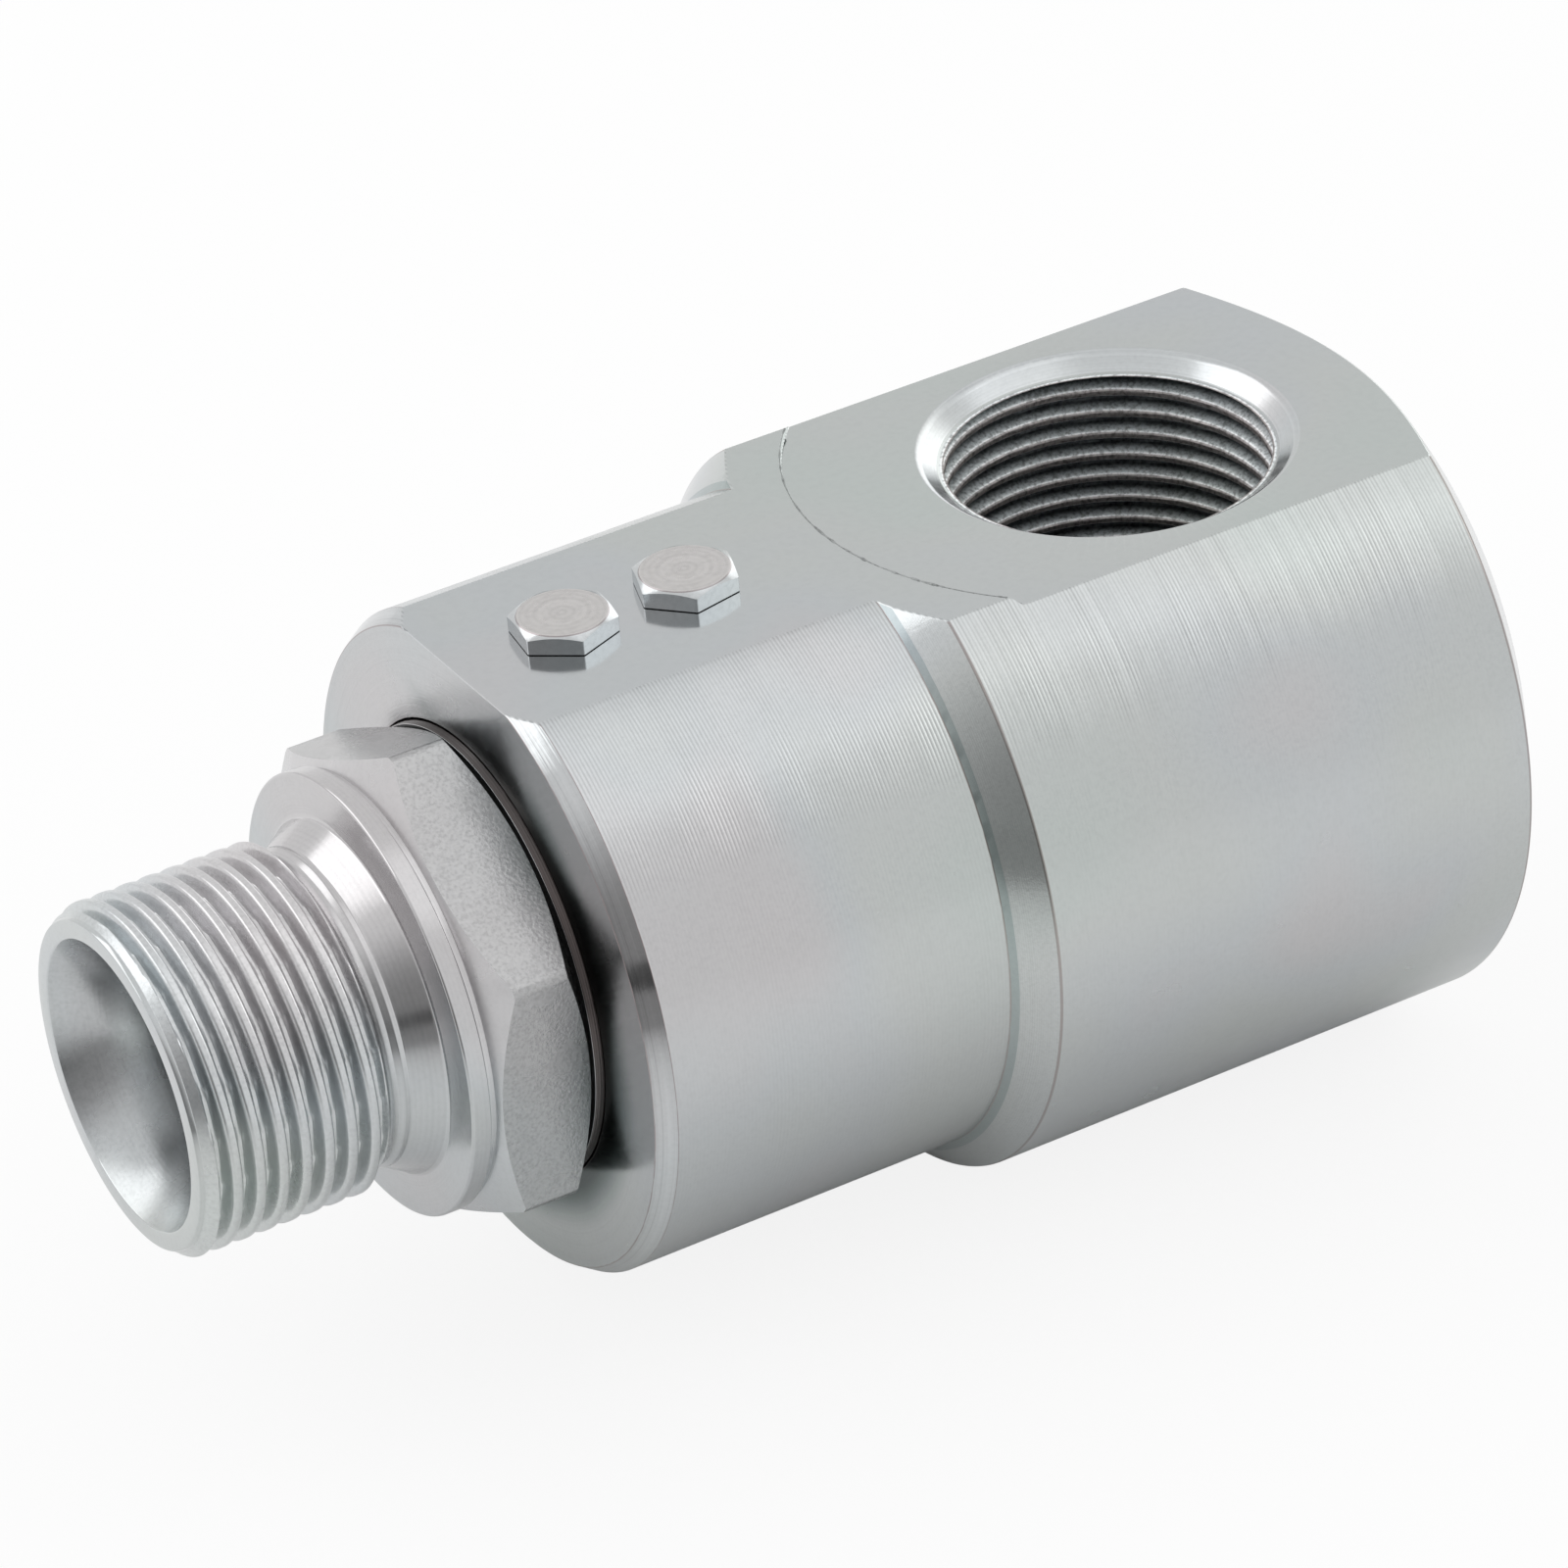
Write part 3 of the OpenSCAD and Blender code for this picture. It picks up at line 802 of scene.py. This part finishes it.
def build_spindle(materials):
    """Spindle with its helical thread, collar, hexagon, race shaft and seal journal."""
    angles = ring_angles(count=192)
    seat_end = END_X + (SEAT_R - BORE_R) / math.tan(math.radians(SEAT_ANGLE))
    rows = [(seat_end, BORE_R, "cone_seat")]
    rows += outline([
        (seat_end, BORE_R, 0, "cone_seat"),
        (END_X, SEAT_R, 0.18, "polished"),
        (END_X, END_FACE_R, 0.12, "polished"),
        (END_X + 0.35, LEAD_R, 0, "male_thread"),
    ])[1:]
    thread_end = THREAD_END_X + 0.5
    rows += male_thread_rows(angles, END_X + 0.4, thread_end)
    collar_front, collar_rear, collar_step, collar_end = COLLAR_X
    groove_end = HEX_X[1] + SHOULDER_GROOVE
    dust_front, dust_rear, dust_floor = DUST_SEAT
    rows += outline([
        (thread_end, ROOT_R - 0.2, 0, "neck"),
        (THREAD_END_X + 0.55, ROOT_R - 0.22, 0, "neck"),
        (RELIEF_X, RELIEF_R, 0.15, "neck"),
        (NECK_X[0], NECK_R, 0.2, "neck"),
        (NECK_X[1], NECK_R, 0.3, "neck"),
        (collar_front, NECK_R + NECK_SPREAD, 0.4, "collar_face"),
        (collar_front, COLLAR_R, 0.22, "neck"),
        (collar_rear, COLLAR_R, 0.1, "polished"),
        (collar_step, COLLAR_R - COLLAR_STEP, 0.05, "polished"),
        (collar_end, COLLAR_R - COLLAR_STEP, 0, "bore"),
        (HUB_X, HUB_R, 0, "bore"),
        (groove_end, HUB_R, 0, "bore"),
        (groove_end, SHOULDER_R - SHOULDER_TAPER, 0.03, "shoulder"),
        (X_FRONT + 0.05, SHOULDER_R, 0, "shoulder"),
        (dust_front, SHOULDER_R, 0, "bore"),
    ])[1:]
    rows += [
        (dust_front, dust_floor, "bore"), (dust_rear, dust_floor, "bore"),
        (dust_rear, COLLAR_R, "bore"),
        (FLANGE_REAR_X, COLLAR_R, "bore"), (FLANGE_REAR_X, SHAFT_R, "bore"),
    ]
    rows += seat_rows(GUIDE_FRONT_SEAT, SHAFT_R)
    for x in RACE_X:
        rows += race_rows(x, SHAFT_R, False)
    rows += seat_rows(GREASE_SEAT, SHAFT_R)
    rows += [(SHAFT_END_X, SHAFT_R, "bore"), (SHAFT_END_X, JOURNAL_R, "bore")]
    rows += seat_rows(GUIDE_REAR_SEAT, JOURNAL_R)
    rows += seat_rows(PRESSURE_SEAT, JOURNAL_R)
    rows += [
        (SPINDLE_REAR_X - REAR_END_CHAMFER, JOURNAL_R, "bore"),
        (SPINDLE_REAR_X, JOURNAL_R - REAR_END_CHAMFER, "bore"),
        (SPINDLE_REAR_X, BORE_R + 0.7, "bore"),
        (SPINDLE_REAR_X - 0.6, BORE_R, "bore"),
    ]
    spindle = turned_mesh("spindle_dressed", rows, angles)
    combine(spindle, build_hexagon(), "UNION")
    finish_piece(spindle, "spindle", ["spindle"], materials)


def build_screw(name, node, x, turn, top_finish, materials):
    """Low hexagon head with a turned top, its washer face and its threaded shank."""
    corner = SCREW_AF / math.sqrt(3)
    washer_r = corner * 0.8
    crown_r = SCREW_AF * 0.48
    top = FLAT_Z + SCREW_HEAD_H
    seat = FLAT_Z + SCREW_GAP
    head = prism(name, SCREW_AF, SCREW_CORNER, seat, top + 0.5, turn, "Z", (x, 0.0), "screw")
    wide = corner + 1
    drop = (wide - crown_r) * math.tan(math.radians(SCREW_CROWN_ANGLE))
    crown = turned_mesh("crown", [
        (seat - 1, 0, "screw"), (seat - 1, wide, "screw"), (top - drop, wide, "screw"),
        (top - 0.07, crown_r, "edge"), (top, SCREW_AF * 0.468, top_finish), (top, 0, top_finish),
    ], ring_angles(count=96), "Z", (x, 0.0))
    combine(head, crown, "INTERSECT")

    angles = ring_angles(count=64)
    rows = [
        (seat + 0.4, 0, "screw"), (seat + 0.4, washer_r, "bore"),
        (FLAT_Z, washer_r, "bore"), (FLAT_Z, SCREW_ROOT_R, "bore"),
    ]
    low = PLUG_TOP_Z + 0.08
    last = 39
    for k in range(last + 1):
        z = FLAT_Z - 0.02 - (FLAT_Z - 0.3 - low) * k / last
        window = smooth_step(z, low, low + 0.7) * smooth_step(-z, -FLAT_Z, -FLAT_Z + 0.5)
        form = thread_form(z, angles, FLAT_Z, SCREW_PITCH)
        rows.append((z, SCREW_ROOT_R + SCREW_THREAD_DEPTH * window * form, "bore"))
    rows += [(low, 1.8, "bore"), (low, 0, "bore")]
    combine(head, turned_mesh("shank", rows, angles, "Z", (x, 0.0)), "UNION")
    finish_piece(head, "housing", [node], materials)


def build_materials():
    """Every zinc finish of the body, the spindle and the screws, by its name."""
    port = dict(axis="Z", centre=(PORT_X, 0, 0))
    top = dict(roughness=0.27, value=0.59, lines="faced", axis="Z", pitch=0.55, depth=0.22,
               regular=0.3, streak=0.05, grain=0.15, grain_size=0.5, mottle=0.06, tint=0.15,
               hue=(1.03, 1.0, 0.985))
    looks = {
        "turned_rear": dict(
            roughness=0.23, lines="turned", pitch=0.30, depth=0.65, regular=0.55, streak=0.09,
            grain=0.02, pits=0.25, spread=0.5, fade=(13.5, 18, 0.08)),
        "turned_front": dict(
            roughness=0.21, lines="turned", pitch=0.30, depth=0.6, regular=0.9, streak=0.07,
            grain=0.02, pits=0.4, spread=0.5, fade=(13.2, 15, 0.12)),
        "milled": dict(
            roughness=0.13, value=0.55, grain=0.02, grain_size=0.6, mottle=0.015, tint=0.7),
        "polished": dict(
            roughness=0.11, value=0.58, lines="turned", pitch=0.16, depth=0.3, regular=0.1,
            streak=0.07, grain=0.05, mottle=0.03),
        "faced": dict(
            roughness=0.22, lines="faced", pitch=0.3, depth=0.2, regular=0.4, grain=0.05),
        # The front face gets painted shade and painted dark reflection round the recess.
        "front_face": dict(
            roughness=0.23, value=0.55, lines="faced", pitch=0.3, depth=0.2, regular=0.3,
            grain=0.12, spread=0.5, painted_shade_ring=(18.0, 22.0, 0.1)),
        # The port thread's lighter grey is painted light for its deep grooves, and it carries the
        # painted highlight and shade of the thread bands.
        "port_thread": dict(
            roughness=0.55, value=0.74, grain=0.8, grain_size=0.3, mottle=0.4, tint=0.5,
            thread_light_bands=True, **port),
        "rim": dict(roughness=0.25, value=0.5, grain=0.1),
        "step": dict(
            roughness=0.15, value=0.58, lines="turned", pitch=0.12, depth=0.12, streak=0.03,
            grain=0.2, grain_size=0.25, mottle=0.05),
        "facet": dict(roughness=0.17, value=0.44, grain=0.1, tint=1.0, hue=(0.94, 1.02, 1.03)),
        # Dark grey: painted shade inside the bores and the recess.
        "bore": dict(roughness=0.4, value=0.16, grain=0.3, tint=0.3),
        "male_thread": dict(
            roughness=0.24, value=0.64, grain=0.12, grain_size=0.3, mottle=0.07),
        "neck": dict(
            roughness=0.18, value=0.57, lines="turned", pitch=0.35, depth=0.08, grain=0.03),
        "collar_face": dict(
            roughness=0.19, lines="faced", pitch=0.25, depth=0.3, regular=0.3, grain=0.08),
        "hexagon": dict(
            roughness=0.25, value=0.46, grain=1.15, grain_size=0.26, mottle=0.14, tint=0.4,
            wave=1.6),
        "cone_seat": dict(
            roughness=0.26, value=0.55, lines="turned", pitch=0.3, depth=0.12, regular=0.3,
            grain=0.12, mottle=0.06),
        # Near-black brown grey: painted shade in the narrow gap between the hexagon and the front
        # face.
        "shoulder": dict(
            roughness=0.16, value=0.09, lines="turned", pitch=0.2, depth=0.3, streak=0.15,
            grain=0.25, tint=1.0, hue=(1.1, 1.0, 0.95)),
        "sink": dict(
            roughness=0.2, value=0.6, lines="faced", pitch=0.2, depth=0.15, regular=0.2,
            streak=0.05, grain=0.1, mottle=0.03, **port),
        "screw": dict(
            roughness=0.15, value=0.6, grain=0.25, grain_size=0.4, mottle=0.06, wave=0.5),
        "screw_top_front": dict(centre=(RACE_X[0], 0, 0), **top),
        "screw_top_rear": dict(centre=(RACE_X[1], 0, 0), **top),
        "edge": dict(roughness=0.2, value=0.36, grain=0.1, tint=1.0, hue=(1.1, 1.0, 0.98)),
        "hexagon_chamfer": dict(roughness=0.3, value=0.62, grain=0.15, mottle=0.03),
        "burr": dict(roughness=0.35, value=0.34, grain=0.6, grain_size=0.3, mottle=0.3),
    }
    return {name: zinc(name, **looks[name]) for name in FINISHES}


def dress_inner_nodes():
    """Procedural finishes for the pieces that keep their CAD mesh."""
    steel = plain_material("ball_polish", (0.62, 0.63, 0.65), 1.0, 0.12, 0.04, 0.6, 0.1)
    plug = plain_material("plug_ground", (0.5, 0.51, 0.53), 1.0, 0.32, 0.08)
    rubber = plain_material("seal_black", (0.03, 0.03, 0.035), 0.0, 0.55, 0.2)
    resin = plain_material("guide_brown", (0.36, 0.22, 0.12), 0.0, 0.6, 0.18)
    bronze = plain_material("washer_bronze", (0.72, 0.52, 0.26), 1.0, 0.3, 0.08)
    ptfe = plain_material("seal_grey_green", (0.24, 0.36, 0.32), 0.0, 0.5, 0.1)
    white = plain_material("backup_white", (0.88, 0.86, 0.8), 0.0, 0.45, 0.05)
    chosen = {
        "balls_front": steel, "balls_rear": steel, "race_plug_front": plug, "race_plug_rear": plug,
        "dust_seal_ring": rubber, "grease_seal_ring": rubber, "energizer_ring": rubber,
        "guide_ring_front": resin, "guide_ring_rear": resin, "thrust_washer": bronze,
        "pressure_seal": ptfe, "backup_ring_front": white, "backup_ring_rear": white,
    }
    for node, material in chosen.items():
        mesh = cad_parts[node].data
        mesh.materials.clear()
        mesh.materials.append(material)


def build_camera():
    """Long lens at the place that a fit to the photograph gave."""
    data = bpy.data.cameras.new("camera")
    data.lens = CAMERA_LENS
    data.sensor_width = SENSOR_WIDTH
    data.clip_start, data.clip_end = 0.02, 20.0
    camera = bpy.data.objects.new("camera", data)
    right, up = Vector(CAMERA_RIGHT), Vector(CAMERA_UP)
    back = right.cross(up).normalized()
    up = back.cross(right)
    turn = Matrix((right, up, back)).transposed().to_4x4()
    camera.matrix_world = Matrix.Translation(CAMERA_PLACE) @ turn
    bpy.context.scene.collection.objects.link(camera)
    bpy.context.scene.camera = camera


def build_softbox():
    """The one lamp, a wide soft box above and behind the spindle's end."""
    data = bpy.data.lights.new("softbox", "AREA")
    data.shape = "RECTANGLE"
    data.size, data.size_y = SOFTBOX_SIZE
    data.energy = SOFTBOX_WATTS
    lamp = bpy.data.objects.new("softbox", data)
    lamp.location = SOFTBOX_PLACE
    lamp.rotation_mode = "QUATERNION"
    toward_joint = Vector(SOFTBOX_AIM) - Vector(SOFTBOX_PLACE)
    lamp.rotation_quaternion = toward_joint.to_track_quat("-Z", "Y")
    bpy.context.scene.collection.objects.link(lamp)


def toward(azimuth, elevation):
    """Unit vector. Azimuth 0 is -Y, and 90 is +X."""
    a, e = math.radians(azimuth), math.radians(elevation)
    return Vector((math.sin(a) * math.cos(e), -math.cos(a) * math.cos(e), math.sin(e)))


def build_world():
    """White for the camera. For the metal, pale studio walls with one dark side."""
    world = bpy.data.worlds.new("studio")
    bpy.context.scene.world = world
    world.use_nodes = True
    tree = world.node_tree
    n = Nodes(tree)
    background = tree.nodes["Background"]
    direction = tree.nodes.new("ShaderNodeTexCoord").outputs["Generated"]

    def patch(aim, inner, outer, strength):
        return n.times(n.lobe(direction, toward(*aim), inner, outer), strength)

    keep = n.times(n.less(1.0, patch(*DARK_SIDE)), n.less(1.0, patch(*DARK_CORE)))
    level = n.times(keep, WALL_LEVEL)
    for bright in BRIGHT_PATCHES:
        level = n.add(level, patch(*bright))
    lit = n.join(level, level, level)
    path = tree.nodes.new("ShaderNodeLightPath")
    n.link(n.mix(path.outputs["Is Camera Ray"], lit, (1, 1, 1, 1)), background.inputs["Color"])
    background.inputs["Strength"].default_value = 1.0


def dark_floor_share(n, x, y):
    """Share of painted shade on the far floor towards the dark side of the studio."""
    aim = toward(-42, 0)
    away = n.add(n.times(x, aim.x), n.times(y, aim.y))
    aside = n.math("ABSOLUTE", n.add(n.times(x, -aim.y), n.times(y, aim.x)))
    spread = n.math("DIVIDE", aside, n.math("MAXIMUM", away, 0.01))
    wide = n.span(spread, 0.35, 1.1, 1.0, 0.0, kind="SMOOTHSTEP")
    far = n.ramp(n.span(away, 0.03, 0.43), greys(
        (0.0, 0.0), (0.1, 0.12), (0.2, 0.3), (0.3, 0.52), (0.4, 0.85)))
    return n.times(wide, far)


def build_floor():
    """Pale floor that keeps the soft shadow of the joint. In reflections it has a painted glow
    under the spindle and painted shade towards the dark side of the studio.
    """
    bm = bmesh.new()
    bmesh.ops.create_grid(bm, x_segments=2, y_segments=2, size=FLOOR_HALF_SIZE)
    for vert in bm.verts:
        vert.co.z = -R_REAR * MM
    floor = new_object("floor", bm)
    material = bpy.data.materials.new("floor_white")
    material.use_nodes = True
    tree = material.node_tree
    tree.nodes.remove(tree.nodes["Principled BSDF"])
    n = Nodes(tree)
    path = tree.nodes.new("ShaderNodeLightPath")
    x, y, _ = n.split(n.coords)
    x = n.add(x, 0.06)
    # Painted shade on the floor, seen only in reflections
    dark = n.times(dark_floor_share(n, x, y), path.outputs["Is Glossy Ray"])
    shade = n.times(n.less(1.0, dark), FLOOR_COLOR)
    diffuse = tree.nodes.new("ShaderNodeBsdfDiffuse")
    n.link(n.join(shade, shade, shade), diffuse.inputs["Color"])
    glow = tree.nodes.new("ShaderNodeEmission")
    glow.inputs["Color"].default_value = (1, 1, 1, 1)
    glow.inputs["Strength"].default_value = 1.0
    # Painted glow on the floor under the spindle, seen only in reflections
    painted_glow_near_spindle = n.span(x, -0.01, -0.025, 0.0, FLOOR_GLOW_NEAR_SPINDLE)
    share = n.add(n.times(path.outputs["Is Camera Ray"], FLOOR_GLOW),
                  n.times(path.outputs["Is Glossy Ray"], painted_glow_near_spindle))
    blend = tree.nodes.new("ShaderNodeMixShader")
    n.link(share, blend.inputs[0])
    n.link(diffuse.outputs[0], blend.inputs[1])
    n.link(glow.outputs[0], blend.inputs[2])
    n.link(blend.outputs[0], tree.nodes["Material Output"].inputs["Surface"])
    floor.data.materials.append(material)


build_camera()
build_world()
build_floor()
build_softbox()
bpy.context.scene.view_settings.view_transform = "Standard"

finishes = build_materials()
build_housing(finishes)
build_spindle(finishes)
for end, x, turn in zip(("front", "rear"), RACE_X, SCREW_TURN):
    node = f"filler_screw_{end}"
    build_screw(f"{node}_dressed", node, x, turn, f"screw_top_{end}", finishes)
dress_inner_nodes()
